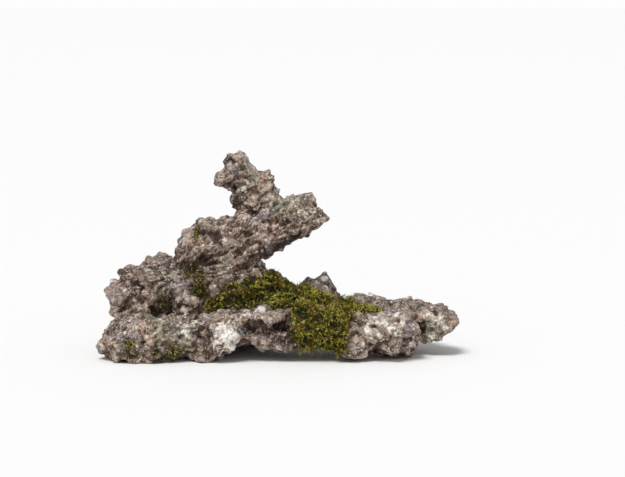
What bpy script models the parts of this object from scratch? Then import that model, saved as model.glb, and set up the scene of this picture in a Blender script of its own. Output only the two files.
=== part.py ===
"""A craggy display stone with moss growing on it, of the kind used for planting on rock.

The stone is one natural piece: a long low base with a flat-topped shelf on the right, a broad
hump at the back left, and a leaning tower that ends in an overhanging arm and a small head.
The moss is a carpet over the base and a few small tufts, each a solid that reaches its tips.
Units are metres, +Z is up, and the stone's long side runs along X. Its front faces -Y.
The origin is the middle of the bottom of the whole part's box.
"""

import math
import random

import bmesh
import bpy
from mathutils import Euler, Matrix, Vector, noise

# Driving dimensions
STONE_LENGTH = 0.450
MOSS_GAP = 0.0004

# The tables below are written for a stone this long, in its own millimetres.
TABLE_LENGTH = 450.0
MM = STONE_LENGTH / TABLE_LENGTH

# Mesh sizes, in table millimetres, square millimetres and triangles
VOXEL = 2.5
STONE_TRIANGLES = 6900
MOSS_VOXEL = 2.0
MOSS_AREA_PER_TRIANGLE = 36.0

# Weathering: how large each kind of roughness is and how deep it goes, in table millimetres
SWELL_SIZE, SWELL_DEPTH = 55.0, 3.0
CRAG_SIZE, CRAG_DEPTH = 24.0, 5.0
NODULE_SIZE, NODULE_DEPTH = 19.0, 7.0
CREVICE_WIDTH, CREVICE_DEPTH = 0.12, 4.0
GRAVEL_SIZE, GRAVEL_DEPTH = 9.0, 2.5
# The nodules' and the gravel's mean distance to their own middles, which leaves the size as it is
MEAN_DISTANCE = 0.42
NOISE_OFFSETS = [Vector((3.1, 8.3, 5.7)), Vector((31.4, 7.7, 12.9)), Vector((-19.3, 41.1, 5.2))]

# A boulder's form: how square its shoulders are, and the planes that broke off it
SHOULDERS = 3
FLAT_PLACES = 10
FLAT_REACH = (0.72, 0.95)

# Boulders: centre x, y, z, then radii x, y, z, then turn about x, y, z in degrees.
FOOT = [
    ((-160, -46, 18), (60, 36, 29), (0, 0, 4)),
    ((-200, -44, 17), (21, 28, 23), (0, 0, 20)),
    ((-125, -50, 27), (36, 30, 28), (0, 0, 0)),
    ((-186, -34, 36), (26, 22, 12), (0, -8, 0)),
    ((-146, -66, 34), (20, 16, 15), (0, 0, 0)),
]
LEDGE = [
    ((-74, -52, 24), (38, 28, 24), (0, -22, 0)),
    ((-22, -58, 55), (36, 22, 7), (0, -4, 0)),
    ((-76, -48, 46), (32, 26, 14), (0, -10, 0)),
    ((-26, -40, 36), (34, 24, 14), (0, -8, 0)),
    ((-6, -50, 24), (44, 25, 14), (0, 3, 0)),
]
MIDDLE = [
    ((-40, 6, 42), (112, 52, 28), (0, 0, 0)),
    ((-30, 48, 38), (48, 34, 34), (0, 0, -12)),
    ((-58, 44, 76), (38, 26, 30), (-14, 0, 10)),
    ((42, -28, 37), (46, 45, 27), (0, 0, 0)),
    ((-40, 0, 64), (70, 38, 18), (14, 0, 0)),
    ((22, 14, 62), (44, 34, 17), (0, 6, 0)),
    ((-128, -20, 46), (38, 20, 10), (0, 0, 0)),
    ((26, 16, 71), (26, 26, 10), (0, 8, 0)),
]
SHELF = [
    ((140, -36, 28), (35, 38, 34), (0, 6, 0)),
    ((100, -20, 36), (40, 36, 20), (0, 0, 0)),
    ((150, -22, 44), (26, 34, 18), (0, 20, 0)),
    ((98, -50, 22), (26, 26, 25), (0, 0, 0)),
    ((196, -2, 38), (30, 32, 21), (0, -24, 12)),
    ((200, 6, 49), (21, 28, 12), (0, 26, 0)),
    ((124, 10, 42), (80, 48, 18), (0, 0, -6)),
    ((132, 54, 57), (62, 14, 7), (0, -1, 0)),
    ((170, 32, 45), (30, 28, 13), (0, 0, 0)),
]
PEAK = [
    ((55, 28, 80), (14, 14, 18), (0, 10, 0)),
    ((40, 26, 76), (14, 13, 14), (0, 0, 0)),
    ((62, 30, 64), (15, 16, 14), (0, 0, 0)),
]
HUMP = [
    ((-160, 15, 80), (42, 42, 30), (0, 0, 0)),
    ((-194, 5, 76), (23, 30, 20), (0, 0, 0)),
    ((-176, 15, 92), (22, 28, 15), (0, -10, 0)),
    ((-148, 23, 107), (24, 25, 11), (0, 0, 0)),
    ((-122, 2, 80), (34, 38, 28), (0, 0, 0)),
    ((-176, -4, 56), (30, 30, 16), (0, 0, 0)),
    ((-126, -16, 88), (16, 18, 15), (0, 0, 20)),
    ((-186, -8, 100), (15, 18, 11), (0, 0, 0)),
    ((-158, -12, 98), (15, 16, 12), (0, 0, 0)),
    ((-158, -22, 74), (16, 16, 12), (0, 0, 0)),
    ((-112, -22, 70), (17, 16, 12), (0, 0, 0)),
    ((-136, 34, 45), (62, 50, 44), (0, 0, 14)),
    ((-110, 62, 30), (54, 30, 34), (0, 0, 20)),
]
TOWER = [
    ((-88, 20, 122), (42, 38, 38), (0, 24, 0)),
    ((-58, 18, 118), (38, 38, 42), (0, 24, 0)),
    ((-108, 18, 112), (24, 30, 22), (0, 20, 0)),
    ((-70, 12, 84), (60, 42, 30), (0, 0, 0)),
    ((-86, 18, 156), (22, 28, 14), (0, -6, 0)),
    ((-62, -16, 112), (14, 14, 17), (0, 0, 20)),
    ((-26, 14, 94), (36, 35, 24), (0, 40, 0)),
    ((-6, 12, 80), (26, 28, 16), (0, 34, 0)),
]
ARM = [
    ((-50, 14, 148), (40, 34, 26), (0, -24, 0)),
    ((-16, 10, 158), (46, 31, 26), (0, -28, 0)),
    ((16, 8, 167), (40, 29, 22), (0, -27, 0)),
    ((-20, 8, 138), (38, 31, 22), (0, -29, 0)),
    ((20, 2, 153), (48, 24, 12), (0, -30, 0)),
    ((45, 0, 171), (16, 18, 11), (0, -26, 0)),
    ((32, 12, 190), (15, 18, 10), (0, -20, 0)),
    ((10, 16, 188), (15, 18, 8), (0, 10, 0)),
]
HEAD = [
    ((-37, 12, 190), (24, 23, 28), (0, 0, 0)),
    ((-16, 12, 196), (24, 20, 14), (0, 24, 0)),
    ((-48, 14, 183), (12, 17, 26), (0, 0, 0)),
    ((-42, 10, 227), (24, 20, 17), (0, 36, 0)),
    ((-64, 8, 222), (17, 18, 12), (0, -24, 0)),
    ((-60, 8, 213), (15, 16, 8), (0, 30, 0)),
    ((-50, 10, 237), (17, 17, 12), (0, 0, 0)),
    ((-17, 12, 215), (15, 16, 13), (0, 0, 0)),
    ((-33, 10, 212), (20, 17, 14), (0, 0, 0)),
]
BOULDERS = FOOT + LEDGE + MIDDLE + SHELF + PEAK + HUMP + TOWER + ARM + HEAD

# Hollows, in the same form: what frost and water took out of the stone.
HOLLOWS = [
    # the arch under the base, open to the front
    ((10, -66, 2), (58, 36, 10), (0, 0, 0)),
    # the dark recess under the ledge's lip
    ((-22, -82, 38), (28, 18, 8), (0, -8, 0)),
    # the sockets in the hump's end
    ((-176, -28, 86), (13, 15, 8), (0, 10, 0)),
    ((-178, -34, 62), (10, 12, 6), (0, 0, 0)),
    ((-198, -22, 60), (8, 12, 6), (0, 0, 0)),
    # the crevice between the hump and the foot
    ((-146, -40, 57), (20, 12, 4), (0, -8, 0)),
    # the hole in the tower's face
    ((-74, -20, 148), (5, 14, 6), (0, 0, 0)),
    # the cleft below the head
    ((-60, -6, 205), (7, 14, 11), (0, 20, 0)),
    # the crevice at the tower's foot
    ((-84, -32, 102), (20, 10, 4), (0, 0, 0)),
    # the shallow hollow that leaves the stone on its feet
    ((-20, 0, -2), (150, 40, 10), (0, 0, 0)),
    ((208, -30, 2), (26, 40, 8), (0, -12, 0)),
]
# The open space under the arm, as a block: centre, half sizes, turn.
NOTCH = ((35, 10, 136), (62, 90, 9), (-6, -28.5, 0))

# The front is described as seen from a little above: how far, and from where heights count.
SIGHT_TILT = math.radians(7.0)
SIGHT_BASE = -80.0
# Moss: the pads of each growth, as x, height seen from the front and reach; then its greatest
# thickness. Each pad sits where that line of sight meets the stone.
MOSS = {
    "moss_carpet": (
        [
            # the drape over the front
            (34, 61, 18), (59, 61, 18), (79, 60, 16), (31, 42, 16), (52, 41, 18), (72, 43, 18),
            (40, 25, 14), (60, 23, 15), (76, 22, 13),
            # the band along the tower's foot
            (-78, 69, 12), (-64, 73, 14), (-42, 76, 16), (-20, 79, 16), (2, 76, 18), (20, 72, 18),
            (-54, 86, 14), (-29, 89, 16), (-8, 95, 17), (15, 89, 17), (34, 83, 17), (52, 77, 16),
            (-14, 104, 10),
            # the wedge on the shelf
            (81, 63, 15), (84, 66, 15), (86, 69, 14), (98, 62, 14), (112, 62, 12), (121, 62, 9),
        ],
        8.0,
    ),
    "moss_collar": ([(-107, 111, 11), (-100, 99, 13), (-92, 90, 9)], 5.0),
    "moss_tuft_hump": ([(-142, 74, 10)], 4.0),
    "moss_tuft_foot": ([(-181, 18, 12)], 4.0),
    "moss_tuft_toe": ([(-143, 14, 11), (-128, 13, 12)], 4.0),
    "moss_tuft_tower": ([(-99, 162, 9)], 4.0),
}
# Past its edge the moss sinks below the stone's face, so that its rim thins out. The rim and
# the slope up to full thickness are shares of a pad's reach, the depths table millimetres.
MOSS_RIM, MOSS_SINK = 0.25, 3.0
MOSS_SLOPE = 0.35
MOSS_ROOT = 5.0
MOSS_BLEND = 7.0
CLUMP_SIZE, CLUMP_SHARE = 17.0, 0.5

# Colours as they look, from 0 to 255, then roughness. None of the materials is metallic.
STONE_FINISH = ((134, 122, 112), 0.9)
MOSS_FINISH = ((84, 88, 30), 0.95)


def rounded_block(bm, centre, radii, turn):
    """A rounded block flattened by a few planes of its own, then stretched, turned and placed."""
    rng = random.Random(str(centre))
    planes = []
    for _ in range(FLAT_PLACES):
        normal = Vector([rng.gauss(0, 1) for _ in range(3)]).normalized()
        planes.append((normal, rng.uniform(*FLAT_REACH)))
    rotation = Euler([math.radians(a) for a in turn]).to_matrix()
    made = bmesh.ops.create_icosphere(bm, subdivisions=4, radius=1.0)
    for vert in made["verts"]:
        point = vert.co * sum(abs(p) ** SHOULDERS for p in vert.co) ** (-1 / SHOULDERS)
        for normal, reach in planes:
            point -= normal * max(0.0, point.dot(normal) - reach)
        stretched = Vector(p * r for p, r in zip(point, radii))
        vert.co = (rotation @ stretched + Vector(centre)) * MM


def new_object(name, bm, collection):
    """An object of that name from a bmesh, which it frees."""
    mesh = bpy.data.meshes.new(name)
    bm.to_mesh(mesh)
    bm.free()
    obj = bpy.data.objects.new(name, mesh)
    collection.objects.link(obj)
    return obj


def blocks_object(name, table, collection):
    """All the rounded blocks of a table as one object, each still a shell of its own."""
    bm = bmesh.new()
    for row in table:
        rounded_block(bm, *row)
    return new_object(name, bm, collection)


def box_object(name, centre, half, turn, collection):
    """A box given by its centre, half sizes and turn."""
    bm = bmesh.new()
    bmesh.ops.create_cube(bm, size=2.0)
    rotation = Euler([math.radians(a) for a in turn]).to_matrix().to_4x4()
    size = Matrix.Diagonal((*(Vector(half) * MM), 1.0))
    bm.transform(Matrix.Translation(Vector(centre) * MM) @ rotation @ size)
    return new_object(name, bm, collection)


def floor_object(height, collection):
    """A block that reaches up to that height and past the stone on every side."""
    return box_object("floor", (0, 0, height - 50), (400, 400, 50), (0, 0, 0), collection)


def copy_object(name, source, collection):
    """A second object with a mesh of its own."""
    obj = bpy.data.objects.new(name, source.data.copy())
    collection.objects.link(obj)
    return obj


def apply_modifiers(obj):
    """Makes the object's evaluated mesh its own."""
    graph = bpy.context.evaluated_depsgraph_get()
    graph.update()
    obj.data = bpy.data.meshes.new_from_object(obj.evaluated_get(graph))
    obj.data.name = obj.name
    obj.modifiers.clear()


def fuse(obj, voxel):
    """One closed skin round all the shells of an object."""
    remesh = obj.modifiers.new("fuse", "REMESH")
    remesh.mode = "VOXEL"
    remesh.voxel_size = voxel * MM
    apply_modifiers(obj)


def thin_out(obj, triangles):
    """Fewer triangles, where the shape needs them least."""
    thin = obj.modifiers.new("thin", "DECIMATE")
    thin.ratio = min(1.0, triangles / sum(len(p.vertices) - 2 for p in obj.data.polygons))
    apply_modifiers(obj)


def cut_away(obj, cutter):
    """Takes the cutter's volume out of the object, and removes the cutter."""
    boolean = obj.modifiers.new("cut", "BOOLEAN")
    boolean.operation = "DIFFERENCE"
    boolean.object = cutter
    apply_modifiers(obj)
    bpy.data.objects.remove(cutter)


def wander(point):
    """A smooth random vector that belongs to that point."""
    return Vector([noise.noise(point + offset) for offset in NOISE_OFFSETS])


def weathered(point, normal):
    """Where a point of the fused blocks lies once it is weathered, in table millimetres."""
    point = point + wander(point / SWELL_SIZE) * SWELL_DEPTH
    point = point + wander(point / CRAG_SIZE) * CRAG_DEPTH
    near, further = noise.voronoi(point / NODULE_SIZE)[0][:2]
    gravel = noise.voronoi(point / GRAVEL_SIZE + NOISE_OFFSETS[0])[0][0]
    rise = (MEAN_DISTANCE - near) * NODULE_DEPTH + (MEAN_DISTANCE - gravel) * GRAVEL_DEPTH
    rise -= CREVICE_DEPTH * math.exp(-(further - near) / CREVICE_WIDTH)
    return point + normal * rise


def move_points(obj, place):
    """Moves every vertex to place(point, normal), both in table millimetres."""
    verts = obj.data.vertices
    moved = [place(v.co / MM, v.normal.copy()) * MM for v in verts]
    for vert, point in zip(verts, moved):
        vert.co = point


def make_stone(collection, cutters):
    """The stone: blocks fused, hollowed, weathered and stood on the floor."""
    stone = blocks_object("stone", BOULDERS, collection)
    fuse(stone, VOXEL)
    cut_away(stone, box_object("notch", *NOTCH, cutters))
    hollows = blocks_object("hollows", HOLLOWS, cutters)
    fuse(hollows, VOXEL)
    cut_away(stone, hollows)
    fuse(stone, VOXEL)
    move_points(stone, weathered)
    fuse(stone, VOXEL)
    thin_out(stone, STONE_TRIANGLES)
    cut_away(stone, floor_object(0.0, cutters))
    return stone


def moss_cover(point, pads):
    """How well moss covers a point: about 1 at a pad's heart, 0 at its edge, and less beyond."""
    shares = (1.0 - (point - centre).length / reach for centre, reach in pads)
    return math.log(sum(math.exp(MOSS_BLEND * share) for share in shares)) / MOSS_BLEND


def moss_rise(point, pads, thickness):
    """How far the moss's top stands above the stone there, in table millimetres."""
    cover = moss_cover(point, pads)
    fullness = 1.0 - (1.0 - min(1.0, max(0.0, cover) / MOSS_SLOPE)) ** 2
    clumps = 1.0 + CLUMP_SHARE * noise.noise(point / CLUMP_SIZE)
    return thickness * fullness * clumps + MOSS_SINK * min(0.0, cover) / MOSS_RIM


def largest_body(obj):
    """Keeps the largest of an object's loose bodies, and drops the crumbs."""
    bm = bmesh.new()
    bm.from_mesh(obj.data)
    left, bodies = set(bm.faces), []
    for first in bm.faces:
        if first not in left:
            continue
        left.remove(first)
        body, edge = [], [first]
        while edge:
            face = edge.pop()
            body.append(face)
            near = {f for e in face.edges for f in e.link_faces} & left
            left -= near
            edge.extend(near)
        bodies.append(body)
    bodies.sort(key=lambda body: sum(face.calc_area() for face in body))
    crumbs = [face for body in bodies[:-1] for face in body]
    bmesh.ops.delete(bm, geom=crumbs, context="FACES")
    bm.to_mesh(obj.data)
    bm.free()


def seen_on(skin, x, height):
    """The point of the stone that shows at x and height from the front, in table millimetres."""
    along = Vector((0, math.cos(SIGHT_TILT), -math.sin(SIGHT_TILT)))
    start = Vector((x, SIGHT_BASE, height / math.cos(SIGHT_TILT))) - along * TABLE_LENGTH
    hit, point, _, _ = skin.ray_cast(start * MM, along)
    if not hit:
        raise ValueError(f"no stone shows at {x}, {height}")
    return point / MM


def make_moss(name, spots, thickness, stone, skin, collection, cutters):
    """A cushion of moss: the stone's own skin raised by the moss, then cut off at the stone."""
    pads = [(seen_on(skin, x, height), reach) for x, height, reach in spots]
    bm = bmesh.new()
    bm.from_mesh(skin.data)
    far = [v for v in bm.verts if moss_cover(v.co / MM, pads) < -MOSS_RIM]
    bmesh.ops.delete(bm, geom=far, context="VERTS")
    tops = {v: v.co + v.normal * moss_rise(v.co / MM, pads, thickness) * MM for v in bm.verts}
    roots = {v: v.co - v.normal * MOSS_ROOT * MM for v in bm.verts}
    rims = [edge for edge in bm.edges if edge.is_boundary]
    under = bmesh.ops.duplicate(bm, geom=bm.verts[:] + bm.edges[:] + bm.faces[:])
    twin = {v: under["vert_map"][v] for v in tops}
    lower = [face for face in under["geom"] if isinstance(face, bmesh.types.BMFace)]
    for edge in rims:
        one, two = edge.verts
        bm.faces.new((one, two, twin[two], twin[one]))
    bmesh.ops.reverse_faces(bm, faces=lower)
    for vert in tops:
        vert.co = tops[vert]
        twin[vert].co = roots[vert]
    bmesh.ops.recalc_face_normals(bm, faces=bm.faces)
    moss = new_object(name, bm, collection)
    fuse(moss, MOSS_VOXEL)
    area = sum(face.area for face in moss.data.polygons) / MM**2
    thin_out(moss, area / MOSS_AREA_PER_TRIANGLE)
    # The swollen stone leaves the gap. The true one then cuts where swelling drew a corner in.
    for gap in (MOSS_GAP, 0.0):
        bed = copy_object("bed", stone, cutters)
        move_points(bed, lambda point, normal: point + normal * gap / MM)
        cut_away(moss, bed)
    cut_away(moss, floor_object(MOSS_GAP / MM, cutters))
    largest_body(moss)
    return moss


def set_origin(objects):
    """Puts the origin at the middle of the bottom of the box round all the objects."""
    points = [vert.co for obj in objects for vert in obj.data.vertices]
    low, high = (Vector([pick(p[i] for p in points) for i in range(3)]) for pick in (min, max))
    bottom = Vector(((low.x + high.x) / 2, (low.y + high.y) / 2, low.z))
    for obj in objects:
        obj.data.transform(Matrix.Translation(-bottom))


def add_material(name, finish, objects):
    """One rough material, and every object that it covers."""
    colour, roughness = finish
    material = bpy.data.materials.new(name)
    material.use_nodes = True
    shader = material.node_tree.nodes["Principled BSDF"]
    linear = [(c / 255) ** 2.2 for c in colour]
    shader.inputs["Base Color"].default_value = (*linear, 1.0)
    shader.inputs["Roughness"].default_value = roughness
    shader.inputs["Metallic"].default_value = 0.0
    for obj in objects:
        obj.data.materials.clear()
        obj.data.materials.append(material)


def main():
    for obj in list(bpy.data.objects):
        bpy.data.objects.remove(obj)
    collection = bpy.data.collections.new("mossy_rock")
    cutters = bpy.data.collections.new("cutters")
    for group in (collection, cutters):
        bpy.context.scene.collection.children.link(group)

    stone = make_stone(collection, cutters)
    skin = copy_object("skin", stone, cutters)
    fuse(skin, MOSS_VOXEL)
    mosses = [
        make_moss(name, spots, thickness, stone, skin, collection, cutters)
        for name, (spots, thickness) in MOSS.items()
    ]
    bpy.data.objects.remove(skin)

    set_origin([stone, *mosses])
    add_material("stone", STONE_FINISH, [stone])
    add_material("moss", MOSS_FINISH, mosses)


if __name__ == "__main__":
    main()
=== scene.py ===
"""The looks of the mossy rock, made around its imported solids.

The stone keeps its solid's form and gets a fine weathered skin over it. Each growth of moss is a
thin mat on that skin, with shoots that stand as high as the moss's solid. Places are metres in
the part's own frame. Sizes that end in _MM are millimetres, and spots are pixels of the view
that the camera has.
"""

import math
from collections import namedtuple

import bmesh
import bpy
import numpy as np
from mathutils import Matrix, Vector, kdtree, noise
from mathutils.bvhtree import BVHTree

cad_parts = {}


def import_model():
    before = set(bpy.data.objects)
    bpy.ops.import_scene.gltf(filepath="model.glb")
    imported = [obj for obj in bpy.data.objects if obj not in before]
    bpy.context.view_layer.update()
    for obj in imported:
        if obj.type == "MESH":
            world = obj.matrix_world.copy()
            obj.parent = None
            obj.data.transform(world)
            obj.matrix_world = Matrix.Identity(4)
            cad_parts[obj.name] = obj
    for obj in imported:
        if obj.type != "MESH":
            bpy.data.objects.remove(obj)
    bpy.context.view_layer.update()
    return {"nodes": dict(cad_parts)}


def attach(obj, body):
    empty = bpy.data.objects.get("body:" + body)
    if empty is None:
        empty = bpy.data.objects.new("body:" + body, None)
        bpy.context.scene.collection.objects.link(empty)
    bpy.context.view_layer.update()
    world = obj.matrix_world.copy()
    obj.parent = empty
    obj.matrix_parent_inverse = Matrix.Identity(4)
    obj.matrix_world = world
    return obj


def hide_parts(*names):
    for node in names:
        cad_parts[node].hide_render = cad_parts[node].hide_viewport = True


MM = 0.001
SEED = 7

# Camera: the view is level with the stone's middle, seen from a little above.
VIEW_WIDTH, VIEW_HEIGHT = 625, 477
PIXEL = 0.00125
DISTANCE = 2.4
ELEVATION = math.radians(7.0)
TARGET = Vector((0.0419, -0.0060, 0.1445))
SENSOR = 36.0
FLOOR_SIZE = 300.0

# Stone skin: a fine mesh, softened and then roughened
SKIN_VOXEL = 1.25 * MM
SKIN_TRIANGLES = 192000
SOFTEN_ROUNDS = 2
WELD = 0.001 * MM
REST_BAND = 4.0 * MM
OFFSETS = [Vector((3.1, 8.3, 5.7)), Vector((31.4, 7.7, 12.9)), Vector((-19.3, 41.1, 5.2))]
HASH_X, HASH_Y, HASH_Z, HASH_SCALE = 12.9898, 78.233, 37.719, 43758.5453

# The stone's layers lie level below the first height, and lean with the arm above the second
LEVEL_BELOW_MM, LEANS_ABOVE_MM = 85.0, 120.0
# The direction across the layers: more aside and less upright as they lean, and a little back
ACROSS_ASIDE, ACROSS_BACK, ACROSS_LOWER = 0.5, 0.12, 0.14
LAYER_MM, LAYERS_IN_BASE_MM, LAYERS_IN_ARM_MM = 10.0, 2.2, 4.4
LAYER_WAVE, LAYER_WAVE_MM = 0.7, 24.0
# How much thinner lumps and chips are across the layers
THINNER_IN_BASE, THINNER_IN_ARM = 0.25, 0.75
WARP_SIZE_MM, WARP_MM = 9.0, 2.4
SWELL_MM = 0.9

# Lumps, the largest first: the size and the height of each kind
CRAGS_MM = ((36.0, 1.2), (20.0, 2.6), (10.0, 1.3), (5.0, 0.7))
LUMP_LEVEL, LUMP_RISE = 0.5, 2.2
RIDGE_SCALE, RIDGE_LEVEL, RIDGE_RISE = 2.1, 0.2, 0.8
# Patches where layers show, and patches where lumps are lower: the size of their noise in
# millimetres, where they start and are full, and the noise's offset
LAYERED_PATCHES = (33.0, -0.15, 0.25, 2)
LOWER_PATCHES, LOWER_SHARE = (30.0, 0.0, 0.25, 0), 0.65
# Patches where the largest kinds of lumps become hollows with ridges between them
TURNED_PATCHES, TURNED_SHARE, TURNED_KINDS = (26.0, -0.15, 0.15, 1), 1.7, 2

# Small flat chips, each tilted its own way and with a tone of its own
CHIP_SIZE_MM, CHIP_DEPTH_MM = 9.0, 4.4
# Holes: their cells, the share of cells that have one, and its rim and floor in parts of a cell
HOLE_SIZE_MM, HOLE_DEPTH_MM, HOLE_SHARE, HOLE_RIM, HOLE_FLOOR = 21.0, 4.5, 0.22, 0.24, 0.06

# Colours as they look, from 0 to 255
GREY = (148, 127, 113)
PALE = (204, 185, 167)
WHITE = (250, 244, 234)
BROWN = (130, 101, 82)
UMBER = (94, 66, 50)
DARK = (40, 26, 19)
# A dark grey that paints shade on the tops
TOP_SHADE = (98, 91, 91)
SAGE = (146, 146, 124)
LILAC = (164, 152, 162)
PINK = (196, 160, 140)
RUST = (150, 84, 52)
OLIVE = (84, 80, 40)

# Places on the stone with a colour of their own, and places of painted shade among the umber and
# grey spots: x and y in the view, and reach in pixels
SPOTS = {
    "white": (
        (229, 336, 12), (220, 330, 8), (239, 328, 7), (216, 343, 5), (234, 346, 5),
        (259, 308, 6), (268, 306, 5), (249, 313, 6), (184, 311, 5), (186, 333, 4),
        (160, 347, 4), (148, 270, 3), (315, 284, 5), (327, 291, 5), (323, 279, 5),
        (374, 316, 4), (384, 322, 4), (392, 330, 4), (402, 322, 4), (396, 314, 3),
        (368, 330, 4), (380, 338, 4), (362, 344, 3), (306, 214, 5), (300, 211, 3),
        (428, 324, 3), (440, 318, 3), (446, 328, 3), (272, 352, 4), (206, 316, 4),
    ),
    "sage": (
        (172, 273, 12), (172, 295, 11), (166, 326, 18), (180, 335, 12), (150, 320, 9),
        (429, 340, 13), (440, 334, 8), (280, 206, 12), (292, 203, 9), (247, 164, 8),
        (226, 262, 8), (253, 176, 7), (215, 301, 8), (302, 203, 8), (106, 284, 7),
    ),
    "lilac": (
        (126, 341, 9), (356, 303, 9), (134, 347, 6), (188, 285, 8), (318, 290, 10),
        (250, 216, 9), (262, 213, 7), (386, 310, 9), (411, 330, 9), (175, 284, 8),
        (236, 170, 6), (268, 246, 8), (408, 312, 6), (205, 318, 7),
    ),
    "pink": (
        (422, 315, 8), (266, 181, 10), (128, 280, 8), (136, 272, 6), (232, 261, 7),
        (133, 305, 8), (142, 326, 7), (240, 226, 10), (272, 230, 10), (150, 338, 6),
        (158, 312, 7), (203, 250, 12), (192, 240, 8),
    ),
    "brown": (
        (205, 250, 30), (225, 264, 28), (240, 234, 20), (140, 280, 24), (165, 262, 16),
        (285, 238, 16), (205, 342, 20), (300, 345, 20), (232, 200, 14), (190, 262, 20),
    ),
    "pale": (
        (250, 164, 13), (262, 180, 9), (246, 184, 8), (303, 205, 9), (297, 219, 7), (322, 216, 6),
        (376, 318, 12), (394, 326, 14), (372, 336, 9), (424, 318, 9), (440, 326, 9), (408, 332, 8),
        (130, 344, 8), (120, 280, 5), (172, 268, 6), (264, 308, 7), (330, 284, 6), (185, 330, 5),
    ),
    # Umber: brown stone, and painted shade under the arm and the head, in the recess under the
    # ledge, in sockets of the hump and along the bottom
    "umber": (
        (125, 277, 7), (126, 295, 6), (127, 305, 5), (140, 288, 8), (200, 262, 14),
        (235, 204, 10), (238, 188, 6), (268, 326, 14), (255, 330, 8), (230, 152, 7),
        (285, 246, 14), (302, 237, 10), (290, 340, 10), (210, 350, 10), (228, 160, 6),
        (414, 309, 8), (216, 240, 5), (132, 262, 5), (264, 246, 10), (438, 350, 9),
        (240, 280, 12), (212, 283, 10), (222, 274, 7), (151, 300, 6), (345, 350, 8),
    ),
    "rust": (
        (209, 248, 3), (207, 275, 4), (103, 346, 4), (214, 322, 3), (186, 318, 3),
        (270, 232, 3), (200, 242, 3), (220, 344, 3), (121, 300, 3), (400, 306, 3),
    ),
    "olive": (
        (104, 350, 6), (134, 350, 8), (174, 356, 12), (240, 292, 12), (205, 282, 9),
        (344, 304, 8), (270, 268, 8), (156, 300, 5), (300, 340, 8), (190, 350, 7),
    ),
    # Grey: painted shade on the top edges of the hump, the tower, the head, the shelf, the peak and
    # the foot
    "grey": (
        (138, 262, 7), (148, 258, 8), (158, 257, 8), (166, 261, 7), (176, 249, 6), (180, 239, 6),
        (187, 228, 6), (198, 221, 7), (211, 220, 7), (222, 222, 6), (219, 170, 5), (225, 162, 6),
        (357, 302, 7), (368, 301, 7), (380, 301, 7), (393, 302, 7), (407, 303, 7), (421, 304, 6),
        (324, 278, 7), (331, 286, 6), (104, 332, 6), (113, 327, 6), (306, 199, 5), (372, 309, 6),
    ),
}
# White spots are lichen crust, which is laid over these colours
SPOT_COLOURS = {
    "brown": BROWN, "pale": PALE, "umber": UMBER, "olive": OLIVE,
    "sage": SAGE, "lilac": LILAC, "pink": PINK, "rust": RUST, "grey": TOP_SHADE,
}
# The slab under the arm, the recess under the ledge, and other dark places
SHADE = (
    (264, 253, 8), (273, 249, 8), (282, 244, 8), (292, 239, 8), (301, 235, 7), (308, 232, 5),
    (254, 326, 7), (264, 324, 7), (274, 325, 7), (284, 329, 6), (290, 338, 6), (276, 340, 7),
    (217, 236, 5), (229, 160, 5), (236, 172, 5), (240, 196, 6), (236, 212, 5), (212, 262, 7),
    (414, 310, 6), (121, 272, 6), (128, 300, 5), (300, 246, 6), (236, 343, 3), (190, 262, 6),
    (232, 186, 6), (224, 182, 4), (238, 199, 7), (234, 207, 6), (218, 240, 6),
)
# Painted light in a hollow, which brings back the grey of its stone there
LIT = ((160, 300, 10), (166, 306, 8), (152, 298, 7))
LIT_SHARE, SHADE_SHARE = 0.6, 0.72
# How much of each colour its spots get, and how much darker the brown ones are
SPOT_SHARE, BROWN_DARKER = 0.85, 0.22
SPOT_SHARES = {"sage": 0.6, "lilac": 0.5, "pale": 0.35, "grey": 0.75}
# Sage and lilac growth, and the grey of painted shade on the tops, that lie over ridges and hollows
# alike, with each one's share there
OVER_ALL = {"grey": 0.55, "sage": 0.28, "lilac": 0.28}
# A spot's reach and the width of its edge, in parts of the reach that is given for it
SPOT_REACH, SPOT_EDGE = 1.1, 0.5
# How far the small and the middle noise move the edges of the spots
EDGES = {
    "spot": (0.5, 0.3), "brown": (0.0, 0.3), "over": (0.5, 0.0),
    "shade": (0.6, 0.0), "crust": (0.9, 0.3), "lit": (0.4, 0.0),
}

# What the colours follow: noises by size, and hollows and ridges as rounds of softening find them
BROAD_MM, MIDDLE_MM, SMALL_MM = 45.0, 15.0, 5.0
SAGE_MM, LILAC_MM = 30.0, 24.0
FINE_ROUNDS, COARSE_ROUNDS = 4, 60
# How far the middle and the small noise ruffle what the colours follow
BROAD_BY_MIDDLE, UP_BY_MIDDLE, UP_BY_SMALL, UP_BY_SMALL_MORE = 0.4, 0.3, 0.3, 0.4
# Washes of colour, in order: colour, share, what it follows, and where it starts and is full
BASE_WASHES = (
    (BROWN, 1.0, "broad", -0.25, 0.45),
    # Down-facing stone: the brown of soil, and painted shade
    (UMBER, 0.75, "up", 0.3, -0.7),
    (SAGE, 0.35, "sage", 0.2, 0.5),
    (LILAC, 0.25, "lilac", 0.25, 0.5),
    # Up-facing stone is paler: painted light
    (PALE, 0.35, "up_rough", 0.1, 0.6),
)
# Down-facing stone is painted brown and dark: partly the brown of soil, partly painted shade. A
# dark grey on the up-facing tops is painted shade.
SOIL_AND_SHADE_WASHES = (
    (UMBER, 0.8, "up_small", 0.0, -0.7),
    (DARK, 0.62, "up_small", -0.4, -0.95),
    (TOP_SHADE, 0.7, "up", 0.55, 0.95),
)
# Single chips are paler or darker than the rest, by bands of their numbers
CHIP_BANDS = ((PINK, 0.3, -1.0, 0.10), (UMBER, 0.5, 0.12, 0.24), (LILAC, 0.4, 0.30, 0.38))
CHIP_WASHES = ((PALE, 0.5, "chip", 0.80, 0.84), (WHITE, 0.6, "chip", 0.94, 0.95))
CHIP_DARKEST, CHIP_LIGHTER = 0.84, 0.26
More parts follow.
